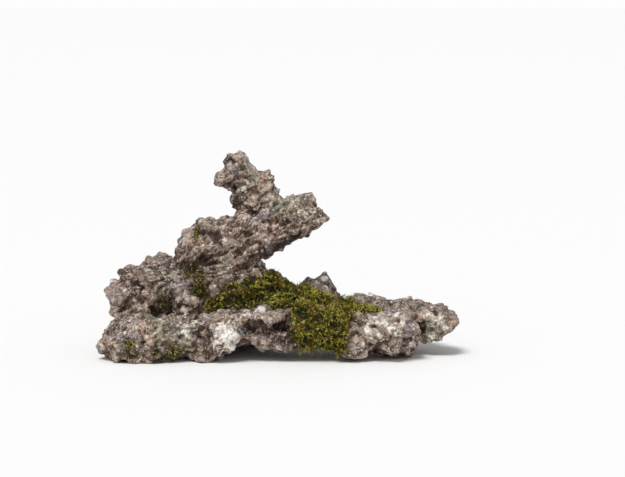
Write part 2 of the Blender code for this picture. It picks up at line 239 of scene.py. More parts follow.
# Ridges are worn pale. Hollows and creases are painted dark, as painted shade.
WEAR_AND_SHADE_WASHES = (
    (PALE, 0.6, "ridge", 0.10, 0.45),
    (UMBER, 0.7, "hollow", 0.1, 2.0),
    (DARK, 0.35, "hollow", 1.2, 3.2),
    (DARK, 0.55, "crease", 0.12, 0.55),
)
# Holes are painted dark: painted shade in their pits
HOLE_SHADE = 0.8
# Lichen crust: its grain, where it starts and is full, and the creases that it leaves open
CRUST_GRAIN, CRUST_GRAIN_MM, CRUST_START, CRUST_FULL, CRUST_SHARE = 0.7, 2.6, 0.35, 0.65, 0.85
CRUST_CREASE_NONE, CRUST_CREASE_ALL = 0.9, 0.2
# Damp stone beside the moss
DAMP_STARTS_MM, DAMP_FULL_MM, DAMP_RAGGED_MM = 9.0, 1.0, 5.0
DAMP_OLIVE, DAMP_DARK = 0.5, 0.2

# Smoother places on the stone, the share of the relief that goes there, and their edge
CALM = (
    (250, 166, 12), (262, 181, 8), (305, 206, 11), (318, 216, 7), (240, 186, 7), (292, 216, 7),
    (385, 322, 13), (430, 320, 9), (128, 342, 9), (160, 330, 8), (356, 303, 9), (172, 270, 8),
    (135, 272, 7), (200, 262, 9), (370, 336, 8), (226, 334, 7), (212, 232, 7),
    (264, 252, 8), (275, 248, 8), (286, 243, 8), (297, 238, 8), (307, 233, 7),
)
CALM_SHARE = 0.72
CALM_ROUNDS = 26
CALM_EDGE, CALM_EDGE_MM = 0.3, 9.0

# Stone material: scales of its noises for places in metres, and ramps from two values to two
SHAKE_SCALE, SHAKE = 420.0, 0.0022
GRAIN_SCALE, GRAIN_TONE, GRAIN_GLOSS = 260.0, (0.32, 0.68, 0.66, 1.34), (0.35, 0.7, 0.95, 0.62)
# Mineral flecks, which also stand for painted glints, in two sizes: their scale, the share of cells
# without one, and how much each shows
FLECKS_AND_GLINTS = ((270.0, 0.90, 0.85), (540.0, 0.88, 0.8))
FLECK_STEP, FLECK_RIM, FLECK_HEART = 0.03, 0.62, 0.35
CLEAN_BY_TINT = (0.02, 0.14, 0.15, 1.0)
BUSY_SCALE, BUSY = 34.0, (0.42, 0.6, 0.25, 1.0)
SPECKS = (0.2, 0.17, 0.0, 0.7)
CHIP_BUMP_SCALE, CHIP_BUMP = 330.0, 1.6 * MM
ROUGH_BUMP_SCALE, ROUGH_BUMP = 700.0, 1.0 * MM
BUMP_STRENGTH = 0.8
STONE_SPECULAR = 0.35

# Moss mats: their height as a share of the solid's, their roughness and their roots
MAT_VOXEL = 1.3 * MM
MAT_SHARE = 0.36
MAT_FOOT, MAT_ROOT = 0.9 * MM, 1.2 * MM
MAT_ROUGHNESS_MM, MAT_LUMP_MM, MAT_GRAIN_MM, MAT_GRAIN = 0.9, 4.0, 1.8, 0.6
BALD_DEPTH_MM, GAP_DEPTH_MM, SPARSE_DEPTH_MM = 4.0, 1.6, 1.8
MAT_SOIL_MM, MAT_GREEN_MM, MAT_TINT_MM = -0.5, 1.6, 3.0

# Moss shoots
SHOOT_AREA_MM2, TRIES_A_SHOOT = 3.0, 3
SHOOT_GAP = 1.35 * MM
SHOOT_SHORTEST, SHOOT_LONGEST = 1.8 * MM, 5.5 * MM
SHOOTS_A_PIECE = 3600
LEAST_RISE = 0.3 * MM
NEIGHBOUR_CELLS = [(x, y, z) for x in (-1, 0, 1) for y in (-1, 0, 1) for z in (-1, 0, 1)]
# Where a shoot points: to the solid's top, off the stone, up and astray
TO_TOP, OFF_STONE, UP, ASTRAY = 0.50, 0.30, 0.12, 0.48
BEND_DOWN, BEND_ASTRAY = 0.10, 0.55
# Clumps of longer and paler shoots
CLUMP, CLUMP_MM = 1.3, 7.0
LENGTH_SHARE, LENGTH_BY_CLUMP, LENGTH_LESS, LENGTH_MORE = 0.95, 0.4, -0.3, 0.25
LENGTH_ADDED = 0.6 * MM
TONE, TONE_BY_CLUMP, TONE_ASTRAY, TONE_BY_FULLNESS = 0.38, 0.55, 0.70, 0.6
TONE_BY_PLACE, TONE_PLACE_MM = 0.75, 18.0
DEAD_SHARE, DEAD_LEAST = 0.19, 0.5
STEM_RADIUS, STEM_TAPER, STEM_SIDES = 0.22 * MM, 0.5, 3
STEM_RINGS = (0.0, 0.4, 0.75)
LEAVES = 10
LEAF_LENGTH, LEAF_WIDTH, LEAF_THICKNESS = 2.5 * MM, 1.2 * MM, 0.2 * MM
GOLDEN_ANGLE = math.radians(137.5)
# Where the leaves start on the stem and how far they go on, and how far each strays from its place
LEAF_START, LEAF_SPAN, LEAF_ASTRAY, LEAF_TURN = 0.22, 0.78, 0.3, 0.5
# Degrees between leaf and stem, how many fewer there are at the tip, and how far that strays
LEAF_LEAN, LEAF_LESS_LEAN, LEAF_LEAN_ASTRAY = 68, 32, 12
# Length of the leaves by their place, by chance and by the length of the shoot
LEAF_LONGEST, LEAF_SHORTER, LEAF_LEAST, LEAF_MOST = 1.15, 0.45, 0.75, 1.2
FULL_SHOOT, SHORT_SHOOT_SHARE, LONG_SHOOT_SHARE = 5 * MM, 0.6, 1.2
LEAF_CURL, LEAF_WIDEST = 0.10, 0.35
# How much paler than its foot each corner of a leaf is
LEAF_SHADES = (0.0, 0.1, 0.1, 0.25)

# Moss colours by tone, and how far up a shoot they start and are full
MOSS_SOIL = (66, 50, 30)
MOSS_DARK = (32, 34, 11)
MOSS_MID = (114, 108, 30)
MOSS_LIGHT = (206, 198, 54)
MOSS_TIP = (255, 246, 132)
MOSS_DEAD = (160, 116, 74)
LIGHT_FROM_TONE, LIGHT_TO_TONE = 0.25, 0.8
TIP_FROM_TONE, TIP_FROM_HEIGHT = 0.65, 0.6
LOW_BY_TONE = 0.3
HIGH_FROM_HEIGHT, HIGH_TO_HEIGHT = 0.25, 0.9
MOSS_PATCH_SCALE, MOSS_PATCH_TONE = 500.0, (0.3, 0.7, 0.8, 1.2)
MOSS_ROUGHNESS, MOSS_SPECULAR = (0.3, 0.7, 0.6, 0.9), 0.25

# How full and bright each growth is, where the carpet is 1
FULLNESS = {
    "moss_carpet": 1.0, "moss_tuft_hump": 0.75, "moss_tuft_tower": 0.6, "moss_tuft_foot": 0.55,
}
FULLNESS_OF_OTHERS = 0.42
# Small gaps all over the moss, and more of them where it is less full
GAP_MM, GAP_STARTS, GAP_FULL, GAPS_BY_FULLNESS, GAP_SHARE = 6.5, 0.05, 0.4, 0.8, 0.8
MOSS_EDGE_MM = 5.0
# Thin growth with soil between: x and y in the view, and reach in pixels
SPARSE = (
    (222, 284, 13), (210, 291, 9), (236, 288, 8), (205, 281, 8), (266, 272, 9), (279, 278, 7),
    (258, 262, 9), (248, 275, 7), (279, 309, 5), (180, 352, 8),
)
SPARSE_SHARE, SPARSE_EDGE = 0.62, 0.6
# Where the moss is low, and the share of its height there
LOW = (
    (272, 272, 12), (282, 280, 10), (292, 286, 8), (262, 268, 8), (276, 270, 10), (312, 286, 6),
)
LOW_SHARE, LOW_EDGE, LOW_EDGE_MM = 0.35, 0.3, 6.0
# Bald places in the moss, where stone or soil shows
BALD = (
    (262, 260, 6), (294, 285, 3), (278, 311, 5), (268, 266, 3),
    (290, 304, 5), (324, 309, 3), (283, 312, 4), (214, 289, 7), (236, 296, 5), (252, 280, 6),
    (228, 288, 5), (202, 296, 5), (244, 288, 5), (268, 292, 3), (276, 300, 3), (350, 306, 3),
)
BALD_SHARE, BALD_EDGE = 0.92, 0.5
Ground = namedtuple("Ground", ("bald", "sparse", "low"))

# Light: an even white surrounding and one large soft light from above, a little left and front
WORLD_LIGHT, WORLD_SEEN = 0.44, 0.985
KEY_FROM, KEY_STRENGTH, KEY_SOFTNESS = Vector((-0.22, -0.34, 0.91)), 2.15, math.radians(24.0)
FLOOR_WHITE, FLOOR_ROUGHNESS = 0.94, 0.9


def linear(colour):
    """A colour from 0 to 255 as the linear values that shaders use."""
    return np.array([((c / 255 + 0.055) / 1.055) ** 2.4 for c in colour])


def smooth(low, high, value):
    """0 below low, 1 above high, and an even curve between."""
    t = np.clip((value - low) / (high - low), 0.0, 1.0)
    return t * t * (3 - 2 * t)


def wander(point):
    """A smooth vector that belongs to that point."""
    return Vector([noise.noise(point + offset) for offset in OFFSETS])


def hash_of(point):
    """A number from 0 to 1 that belongs to a cell's own point."""
    angle = point.x * HASH_X + point.y * HASH_Y + point.z * HASH_Z
    return math.sin(angle) * HASH_SCALE % 1.0


def new_object(name, mesh):
    """A new object in the scene."""
    obj = bpy.data.objects.new(name, mesh)
    bpy.context.scene.collection.objects.link(obj)
    return obj


def welded_copy(name, node):
    """The node's mesh as an object of its own, with its split corners joined."""
    bm = bmesh.new()
    bm.from_mesh(node.data)
    bmesh.ops.remove_doubles(bm, verts=bm.verts, dist=WELD)
    mesh = bpy.data.meshes.new(name)
    bm.to_mesh(mesh)
    bm.free()
    return new_object(name, mesh)


def apply_modifiers(obj):
    """Gives the object the mesh that its modifiers make."""
    graph = bpy.context.evaluated_depsgraph_get()
    graph.update()
    obj.data = bpy.data.meshes.new_from_object(obj.evaluated_get(graph))
    obj.data.name = obj.name
    obj.modifiers.clear()


def remesh(obj, voxel):
    """Gives the object an even closed mesh of cells of that size."""
    modifier = obj.modifiers.new("skin", "REMESH")
    modifier.mode = "VOXEL"
    modifier.voxel_size = voxel
    apply_modifiers(obj)


def thin_out(obj, triangles):
    """Brings the object's mesh down to about that many triangles."""
    modifier = obj.modifiers.new("thin", "DECIMATE")
    modifier.ratio = min(1.0, triangles / sum(len(p.vertices) - 2 for p in obj.data.polygons))
    apply_modifiers(obj)


def read_points(mesh):
    points = np.zeros(len(mesh.vertices) * 3, np.float32)
    mesh.vertices.foreach_get("co", points)
    return points.reshape(-1, 3).astype(float)


def write_points(mesh, points):
    mesh.vertices.foreach_set("co", points.astype(np.float32).ravel())
    mesh.update()


def read_normals(mesh):
    normals = np.zeros(len(mesh.vertices) * 3, np.float32)
    mesh.vertex_normals.foreach_get("vector", normals)
    return normals.reshape(-1, 3).astype(float)


def neighbours_mean(mesh):
    """A function that gives each vertex the mean of its neighbours' values."""
    edges = np.zeros(len(mesh.edges) * 2, np.int32)
    mesh.edges.foreach_get("vertices", edges)
    one, two = edges.reshape(-1, 2).T
    start, end = np.concatenate((one, two)), np.concatenate((two, one))
    count = np.maximum(1, np.bincount(start, minlength=len(mesh.vertices)))

    def mean(values):
        columns = [np.bincount(start, values[end, i], len(count)) / count for i in range(3)]
        return np.stack(columns, axis=1)

    return mean


def soften(mesh, points, rounds):
    """The points after that many rounds of moving half the way to their neighbours' mean."""
    mean = neighbours_mean(mesh)
    for _ in range(rounds):
        points = 0.5 * points + 0.5 * mean(points)
    return points


def lumps(place):
    """Uneven lumps with narrow creases between them, level on the whole."""
    near = noise.voronoi(place)[0][0]
    ridge = abs(noise.noise(place * RIDGE_SCALE))
    return LUMP_RISE * (LUMP_LEVEL - near) + RIDGE_RISE * (ridge - RIDGE_LEVEL)


def patches(point, size_mm, start, full, offset):
    """How far inside such patches a point lies, from 0 to 1."""
    return float(smooth(start, full, noise.noise(point / size_mm + OFFSETS[offset])))


def layers(point, across, depth):
    """Broken layers of stone: each one stands out towards its upper edge."""
    layer = point.dot(across) / LAYER_MM + LAYER_WAVE * noise.noise(point / LAYER_WAVE_MM)
    return depth * patches(point, *LAYERED_PATCHES) * (layer % 1.0 - 0.5)


def relief(point):
    """The skin's height at a point in millimetres, its chip's number and its share of a hole."""
    # The layers show most in the arm. Lumps and chips lie along them, and are thinner across them.
    lean = float(smooth(LEVEL_BELOW_MM, LEANS_ABOVE_MM, point.z))
    across = Vector((-ACROSS_ASIDE * lean, ACROSS_BACK, 1.0 - ACROSS_LOWER * lean))
    layer_depth = LAYERS_IN_BASE_MM + (LAYERS_IN_ARM_MM - LAYERS_IN_BASE_MM) * lean
    thinner = THINNER_IN_BASE + (THINNER_IN_ARM - THINNER_IN_BASE) * lean

    def squeezed(place):
        return place + across * across.dot(place) * thinner

    warped = squeezed(point + wander(point / WARP_SIZE_MM) * WARP_MM)
    calm = 1.0 - LOWER_SHARE * patches(point, *LOWER_PATCHES)
    turned = 1.0 - TURNED_SHARE * patches(point, *TURNED_PATCHES)
    height = SWELL_MM + layers(point, across, layer_depth)
    for i, (size, rise) in enumerate(CRAGS_MM):
        way = turned if i < TURNED_KINDS else 1.0
        height += rise * calm * way * lumps(warped / size + OFFSETS[i % len(OFFSETS)])
    place = squeezed(point) / CHIP_SIZE_MM
    heart = noise.voronoi(place)[1][0]
    number = hash_of(heart)
    tilt = Vector((hash_of(heart.yzx) - 0.5, hash_of(heart.zxy) - 0.5, number - 0.5))
    height += CHIP_DEPTH_MM * tilt.dot(place - heart)
    distances, cells = noise.voronoi(warped / HOLE_SIZE_MM + OFFSETS[2])
    hole = 0.0
    if hash_of(cells[0]) < HOLE_SHARE and distances[0] < HOLE_RIM:
        hole = float(smooth(HOLE_RIM, HOLE_FLOOR, distances[0]))
    return height - HOLE_DEPTH_MM * hole, number, hole


def keep_above_floor(points):
    """Lifts the points that lie below the floor up to it."""
    points[..., 2] = np.maximum(points[..., 2], 0.0)


def make_skin(node, solid_tree):
    """The stone's fine skin, and for each of its points the chip's number and the hole."""
    stone = welded_copy("stone_skin", node)
    remesh(stone, SKIN_VOXEL)
    points = soften(stone.data, read_points(stone.data), SOFTEN_ROUNDS)
    edge = CALM_EDGE * noise_at(points, CALM_EDGE_MM)
    calm = CALM_SHARE * cover(points, spot_centres(CALM, solid_tree), edge)
    points = points + (soften(stone.data, points, CALM_ROUNDS) - points) * calm[:, None]
    write_points(stone.data, points)
    normals = read_normals(stone.data)
    heights, numbers, holes = np.array([relief(Vector(p) / MM) for p in points]).T
    # The relief fades out in the calm places, and on the flat places that the stone rests on.
    fade = smooth(0.0, REST_BAND, points[:, 2]) * (1.0 - calm)
    points = points + normals * (heights * fade * MM)[:, None]
    keep_above_floor(points)
    write_points(stone.data, points)
    tree = kdtree.KDTree(len(points))
    for i, point in enumerate(points):
        tree.insert(point, i)
    tree.balance()
    remesh(stone, SKIN_VOXEL)
    thin_out(stone, SKIN_TRIANGLES)
    final = read_points(stone.data)
    keep_above_floor(final)
    write_points(stone.data, final)
    nearest = [tree.find(p)[1] for p in final]
    for polygon in stone.data.polygons:
        polygon.use_smooth = True
    return stone, numbers[nearest], holes[nearest]


def tree_of(obj):
    """The object's surface, for rays and nearest points."""
    mesh = obj.data
    return BVHTree.FromPolygons([v.co for v in mesh.vertices], [p.vertices for p in mesh.polygons])


def view_ray(x, y):
    """Where the camera is, and the direction in which it sees that pixel."""
    ahead = Vector((0, math.cos(ELEVATION), -math.sin(ELEVATION)))
    up = Vector((0, math.sin(ELEVATION), math.cos(ELEVATION)))
    right = Vector((1, 0, 0))
    aside = (x - VIEW_WIDTH / 2) * PIXEL / DISTANCE
    above = (VIEW_HEIGHT / 2 - y) * PIXEL / DISTANCE
    return TARGET - ahead * DISTANCE, (ahead + right * aside + up * above).normalized()


def spot_centres(spots, stone_tree):
    """The points of the stone that show at those pixels, with each one's reach in metres."""
    centres = []
    for x, y, reach in spots:
        hit = stone_tree.ray_cast(*view_ray(x, y))[0]
        if hit is not None:
            centres.append((np.array(hit), reach * PIXEL))
    return centres


def cover(points, centres, ragged):
    """How well the spots cover each point, from 0 to 1, with a ragged edge."""
    best = np.zeros(len(points))
    for centre, reach in centres:
        distance = np.linalg.norm(points - centre, axis=1) / reach
        best = np.maximum(best, smooth(0.0, SPOT_EDGE, SPOT_REACH - distance + ragged))
    return best


def noise_at(points, size_mm, offset=0):
    """Smooth noise of about -1 to 1 at each point."""
    scale = 1.0 / (size_mm * MM)
    return np.array([noise.noise(Vector(p) * scale + OFFSETS[offset]) for p in points])


def add_colours(mesh, name, colours):
    """Stores a colour for each of the mesh's points."""
    layer = mesh.attributes.new(name, "FLOAT_COLOR", "POINT")
    full = np.concatenate((colours, np.ones((len(colours), 1))), axis=1)
    layer.data.foreach_set("color", full.astype(np.float32).ravel())


def mixed(base, colour, share):
    """Each base colour mixed with one other colour by its share."""
    return base + (linear(colour) - base) * share[..., None]


def colour_stone(stone, numbers, holes, skin_tree, moss_trees):
    """Gives the skin its colours, from its form, its own noise and the named spots, with painted
    shade and painted light among them.
    """
    mesh = stone.data
    points, normals = read_points(mesh), read_normals(mesh)
    fine = np.sum((soften(mesh, points, FINE_ROUNDS) - points) * normals, axis=1) / MM
    coarse = np.sum((soften(mesh, points, COARSE_ROUNDS) - points) * normals, axis=1) / MM
    sizes = (BROAD_MM, MIDDLE_MM, SMALL_MM)
    broad, middle, small = (noise_at(points, size, i) for i, size in enumerate(sizes))
    up = normals[:, 2]
    followed = {
        "broad": broad + BROAD_BY_MIDDLE * middle,
        "up": up + UP_BY_MIDDLE * middle,
        "up_small": up + UP_BY_SMALL * small,
        "up_rough": up + UP_BY_SMALL_MORE * small,
        "sage": noise_at(points, SAGE_MM, 2),
        "lilac": noise_at(points, LILAC_MM, 1),
        "chip": numbers,
        "ridge": -fine,
        "crease": fine,
        "hollow": coarse,
    }

    def wash(colours, washes):
        for colour, share, name, start, full in washes:
            colours = mixed(colours, colour, share * smooth(start, full, followed[name]))
        return colours

    def covered(spots, edge):
        by_small, by_middle = EDGES[edge]
        ragged = by_small * small + by_middle * middle
        return cover(points, spot_centres(spots, skin_tree), ragged)

    colours = wash(np.tile(linear(GREY), (len(points), 1)), BASE_WASHES)
    # Spot colours; the umber and grey spots also paint shade
    for name, colour in SPOT_COLOURS.items():
        share = SPOT_SHARES.get(name, SPOT_SHARE) * covered(SPOTS[name], "spot")
        colours = mixed(colours, colour, share)
    # Painted shade by facing: dark undersides, with the brown of soil, and dark tops
    colours = wash(colours, SOIL_AND_SHADE_WASHES)
    for colour, share, low, high in CHIP_BANDS:
        colours = mixed(colours, colour, share * ((numbers > low) & (numbers < high)))
    colours = wash(colours, CHIP_WASHES)
    colours = colours * (CHIP_DARKEST + CHIP_LIGHTER * numbers)[:, None]
    # Worn pale ridges, and painted shade in hollows and creases
    colours = wash(colours, WEAR_AND_SHADE_WASHES)
    # Painted shade in the holes
    colours = mixed(colours, DARK, HOLE_SHADE * holes)
    # Growth, painted shade on the tops and in dark places, and lichen crust lie over all of it.
    colours = colours * (1.0 - BROWN_DARKER * covered(SPOTS["brown"], "brown"))[:, None]
    for name, share in OVER_ALL.items():
        colours = mixed(colours, SPOT_COLOURS[name], share * covered(SPOTS[name], "over"))
    colours = mixed(colours, DARK, SHADE_SHARE * covered(SHADE, "shade"))
    crust = covered(SPOTS["white"], "crust") + CRUST_GRAIN * noise_at(points, CRUST_GRAIN_MM, 1)
    crust = CRUST_SHARE * smooth(CRUST_START, CRUST_FULL, crust)
    colours = mixed(colours, WHITE, crust * smooth(CRUST_CREASE_NONE, CRUST_CREASE_ALL, fine))
    near_moss = np.array([min(t.find_nearest(p)[3] for t in moss_trees) for p in points]) / MM
    damp = smooth(DAMP_STARTS_MM, DAMP_FULL_MM, near_moss + DAMP_RAGGED_MM * middle)
    colours = mixed(colours, OLIVE, DAMP_OLIVE * damp)
    colours = mixed(colours, DARK, DAMP_DARK * damp)
    # Painted light in the dark hollow
    colours = mixed(colours, GREY, LIT_SHARE * covered(LIT, "lit"))
    add_colours(mesh, "tint", colours)


class Nodes:
    """Short calls for a material's nodes."""

    def __init__(self, name):
        self.material = bpy.data.materials.new(name)
        self.material.use_nodes = True
        self.tree = self.material.node_tree
        self.shader = self.tree.nodes["Principled BSDF"]

    def add(self, kind, values=(), **settings):
        """A node with its settings, and its inputs by name: a value, or another node's output."""
        node = self.tree.nodes.new(kind)
        for key, value in settings.items():
            setattr(node, key, value)
        for key, value in dict(values).items():
            self.put(node.inputs[key], value)
        return node

    def put(self, socket, value):
        if isinstance(value, bpy.types.NodeSocket):
            self.tree.links.new(value, socket)
        else:
            socket.default_value = value

    def mix(self, share, one, two, how="MIX"):
        """Two colours mixed by a share."""
        node = self.tree.nodes.new("ShaderNodeMix")
        node.data_type = "RGBA"
        node.blend_type = how
        colours = [s for s in node.inputs if s.type == "RGBA"]
        for socket, value in zip([node.inputs["Factor"], *colours], (share, one, two)):
            self.put(socket, value)
        return next(s for s in node.outputs if s.type == "RGBA")

    def ramp(self, value, low, high, start=0.0, end=1.0):
        """The value brought from low..high to start..end."""
        node = self.add("ShaderNodeMapRange", interpolation_type="SMOOTHSTEP")
        given = {"Value": value, "From Min": low, "From Max": high, "To Min": start, "To Max": end}
        for key, setting in given.items():
            self.put(node.inputs[key], setting)
        return node.outputs["Result"]

    def math(self, how, one, two):
        node = self.tree.nodes.new("ShaderNodeMath")
        node.operation = how
        self.put(node.inputs[0], one)
        self.put(node.inputs[1], two)
        return node.outputs[0]


def rgba(colour):
    """A colour from 0 to 255 as a node's input takes it."""
    return (*linear(colour), 1.0)


def stone_material():
    """Weathered stone: the skin's own tint with flecks that are partly painted glints, specks,
    grain and a fine bump.
    """
    n = Nodes("stone_weathered")
    place = n.add("ShaderNodeTexCoord").outputs["Object"]
    shake = n.add("ShaderNodeTexNoise", {"Vector": place, "Scale": SHAKE_SCALE, "Detail": 2.0})
    shift = n.add("ShaderNodeVectorMath", operation="SCALE")
    n.put(shift.inputs[0], shake.outputs["Color"])
    shift.inputs["Scale"].default_value = SHAKE
    moved = n.add("ShaderNodeVectorMath", operation="ADD")
    n.put(moved.inputs[0], place)
    n.put(moved.inputs[1], shift.outputs[0])
    where = moved.outputs[0]

    tint = n.add("ShaderNodeAttribute", attribute_name="tint").outputs["Color"]
    grain = n.add("ShaderNodeTexNoise", {"Vector": place, "Scale": GRAIN_SCALE, "Detail": 6.0})
    tone = n.ramp(grain.outputs["Fac"], *GRAIN_TONE)
    colour = n.mix(1.0, tint, tone, "MULTIPLY")
    # Mineral flecks that also stand for painted glints: a share of fine cells, in two sizes, and
    # fewer of them on dark stone
    light = n.add("ShaderNodeRGBToBW", {"Color": tint}).outputs["Val"]
    clean = n.ramp(light, *CLEAN_BY_TINT)
    region = n.add("ShaderNodeTexNoise", {"Vector": place, "Scale": BUSY_SCALE, "Detail": 2.0})
    busy = n.ramp(region.outputs["Fac"], *BUSY)
    for scale, least, shown in FLECKS_AND_GLINTS:
        cells = n.add("ShaderNodeTexVoronoi", {"Vector": where, "Scale": scale})
        number = n.add("ShaderNodeSeparateColor", {"Color": cells.outputs["Color"]})
        chosen = n.ramp(number.outputs["Red"], least, least + FLECK_STEP)
        heart = n.ramp(cells.outputs["Distance"], FLECK_RIM, FLECK_HEART)
        fleck = n.mix(number.outputs["Green"], rgba(PALE), rgba(WHITE))
        share = n.math("MULTIPLY", n.math("MULTIPLY", chosen, heart), shown)
        share = n.math("MULTIPLY", share, clean)
        colour = n.mix(share, colour, fleck)
        speck = n.math("MULTIPLY", n.ramp(number.outputs["Blue"], *SPECKS), busy)
        colour = n.mix(speck, colour, rgba(DARK))
    n.put(n.shader.inputs["Base Color"], colour)

    n.put(n.shader.inputs["Roughness"], n.ramp(grain.outputs["Fac"], *GRAIN_GLOSS))
    n.shader.inputs["Specular IOR Level"].default_value = STONE_SPECULAR
    chips = n.add("ShaderNodeTexVoronoi", {"Vector": where, "Scale": CHIP_BUMP_SCALE})
    chipped = n.add("ShaderNodeBump", {"Height": chips.outputs["Distance"], "Distance": CHIP_BUMP})
    chipped.invert = True
    chipped.inputs["Strength"].default_value = BUMP_STRENGTH
    rough = n.add("ShaderNodeTexNoise", {"Vector": where, "Scale": ROUGH_BUMP_SCALE, "Detail": 5.0})
    bump = n.add("ShaderNodeBump", {"Height": rough.outputs["Fac"], "Distance": ROUGH_BUMP})
    bump.inputs["Strength"].default_value = BUMP_STRENGTH
    n.put(bump.inputs["Normal"], chipped.outputs["Normal"])
    n.put(n.shader.inputs["Normal"], bump.outputs["Normal"])
    return n.material


def moss_material():
    """Moss: the tint of each shoot, a little varied along it."""
    n = Nodes("moss_fresh")
    place = n.add("ShaderNodeTexCoord").outputs["Object"]
    tint = n.add("ShaderNodeAttribute", attribute_name="tint").outputs["Color"]
    patch = n.add("ShaderNodeTexNoise", {"Vector": place, "Scale": MOSS_PATCH_SCALE, "Detail": 3.0})
    tone = n.ramp(patch.outputs["Fac"], *MOSS_PATCH_TONE)
    n.put(n.shader.inputs["Base Color"], n.mix(1.0, tint, tone, "MULTIPLY"))
    n.put(n.shader.inputs["Roughness"], n.ramp(patch.outputs["Fac"], *MOSS_ROUGHNESS))
    n.shader.inputs["Specular IOR Level"].default_value = MOSS_SPECULAR
    return n.material


def mesh_of(name, points, triangles):
    """A mesh from arrays of points and triangles."""
    mesh = bpy.data.meshes.new(name)
    mesh.vertices.add(len(points))
    mesh.vertices.foreach_set("co", points.astype(np.float32).ravel())
    mesh.loops.add(3 * len(triangles))
    mesh.loops.foreach_set("vertex_index", triangles.astype(np.int32).ravel())
    mesh.polygons.add(len(triangles))
    mesh.polygons.foreach_set("loop_start", np.arange(0, 3 * len(triangles), 3, dtype=np.int32))
    mesh.update(calc_edges=True)
    return mesh


def lowered(roots, low):
    """The share of its height that the moss has at each root."""
    return 1.0 - (1.0 - LOW_SHARE) * cover(roots, low, LOW_EDGE * noise_at(roots, LOW_EDGE_MM))


def bareness(roots, places, ground, fullness):
    """How bald, how full of gaps and how sparse the moss is, each from 0 to 1."""
    bald = cover(roots, ground.bald, BALD_EDGE * noise_at(roots, MOSS_EDGE_MM))
    less = GAPS_BY_FULLNESS * (1.0 - fullness)
    gaps = smooth(GAP_STARTS, GAP_FULL, noise_at(places, GAP_MM, 1) + less)
    sparse = cover(roots, ground.sparse, SPARSE_EDGE * noise_at(roots, MOSS_EDGE_MM))
    return bald, gaps, sparse


def top_samples(node, rng):
    """Points spread over the whole surface of the moss's solid."""
    mesh = node.data
    mesh.calc_loop_triangles()
    corners = np.array([[mesh.vertices[i].co for i in t.vertices] for t in mesh.loop_triangles])
    one, two = corners[:, 1] - corners[:, 0], corners[:, 2] - corners[:, 0]
    area = np.linalg.norm(np.cross(one, two), axis=1) / 2
    tries = int(TRIES_A_SHOOT * area.sum() / MM**2 / SHOOT_AREA_MM2)
    picked = rng.choice(len(area), size=tries, p=area / area.sum())
    a, b = np.sqrt(rng.random(tries)), rng.random(tries)
    weights = np.stack((1 - a, a * (1 - b), a * b), axis=1)
    return np.einsum("ij,ijk->ik", weights, corners[picked])


def spread(points, gap):
    """Leaves out each point that lies too close to an earlier one."""
    taken, kept = {}, []
    for i, point in enumerate(points):
        cell = tuple((point // gap).astype(int))
        around = [(cell[0] + x, cell[1] + y, cell[2] + z) for x, y, z in NEIGHBOUR_CELLS]
        near = (points[j] for c in around for j in taken.get(c, ()))
        if any(np.sum((other - point) ** 2) < gap**2 for other in near):
            continue
        taken.setdefault(cell, []).append(i)
        kept.append(i)
    return points[kept]


def unit(vectors):
    """The vectors brought to length 1."""
    return vectors / np.maximum(1e-9, np.linalg.norm(vectors, axis=-1, keepdims=True))


def shoots_on(tops, skin_tree, ground, fullness, rng):
    """Root, direction, bend, length and tone of the shoots below those tops."""
    roots = np.array([skin_tree.find_nearest(p)[0] for p in tops])
    ways = np.array([skin_tree.find_nearest(p)[1] for p in tops])
    rise = np.linalg.norm(tops - roots, axis=1) * lowered(roots, ground.low)
    inside = np.sum((tops - roots) * ways, axis=1) > LEAST_RISE
    bald, gaps, sparse = bareness(roots, roots, ground, fullness)
    bare = np.maximum(np.maximum(BALD_SHARE * bald, GAP_SHARE * gaps), SPARSE_SHARE * sparse)
    keep = inside & (rng.random(len(tops)) > bare)
    tops, roots, ways, rise = tops[keep], roots[keep], ways[keep], rise[keep]
    count = len(tops)
    outward = unit(tops - roots)
    upward = np.array((0.0, 0.0, 1.0))
    astray = ASTRAY * rng.normal(size=(count, 3))
    ahead = unit(TO_TOP * outward + OFF_STONE * ways + UP * upward + astray)
    bend = -BEND_DOWN * upward + BEND_ASTRAY * rng.normal(size=(count, 3))
    clump = CLUMP * noise_at(roots, CLUMP_MM, 1)
    chance = rng.uniform(LENGTH_LESS, LENGTH_MORE, count)
    length = rise * (LENGTH_SHARE + LENGTH_BY_CLUMP * clump + chance) + LENGTH_ADDED
    length = np.clip(length, SHOOT_SHORTEST, SHOOT_LONGEST)
    tone = TONE + TONE_BY_PLACE * noise_at(roots, TONE_PLACE_MM, 2) + TONE_BY_CLUMP * clump
    tone += TONE_ASTRAY * rng.normal(size=count)
    tone -= TONE_BY_FULLNESS * (1.0 - fullness)
    return roots, ahead, bend, length, tone


def moss_colours(tone, along, dead):
    """Colours by tone and by how far up the shoot a point lies."""
    tone, along = np.clip(tone, 0, 1), np.clip(along, 0, 1)
    high = mixed(linear(MOSS_MID), MOSS_LIGHT, smooth(LIGHT_FROM_TONE, LIGHT_TO_TONE, tone))
    tip = smooth(TIP_FROM_TONE, 1.0, tone) * smooth(TIP_FROM_HEIGHT, 1.0, along)
    high = mixed(high, MOSS_TIP, tip)
    dark, mid = linear(MOSS_DARK), linear(MOSS_MID)
    low = dark + (mid - dark) * LOW_BY_TONE * tone[..., None]
    colours = low + (high - low) * smooth(HIGH_FROM_HEIGHT, HIGH_TO_HEIGHT, along)[..., None]
    return mixed(colours, MOSS_DEAD, dead)


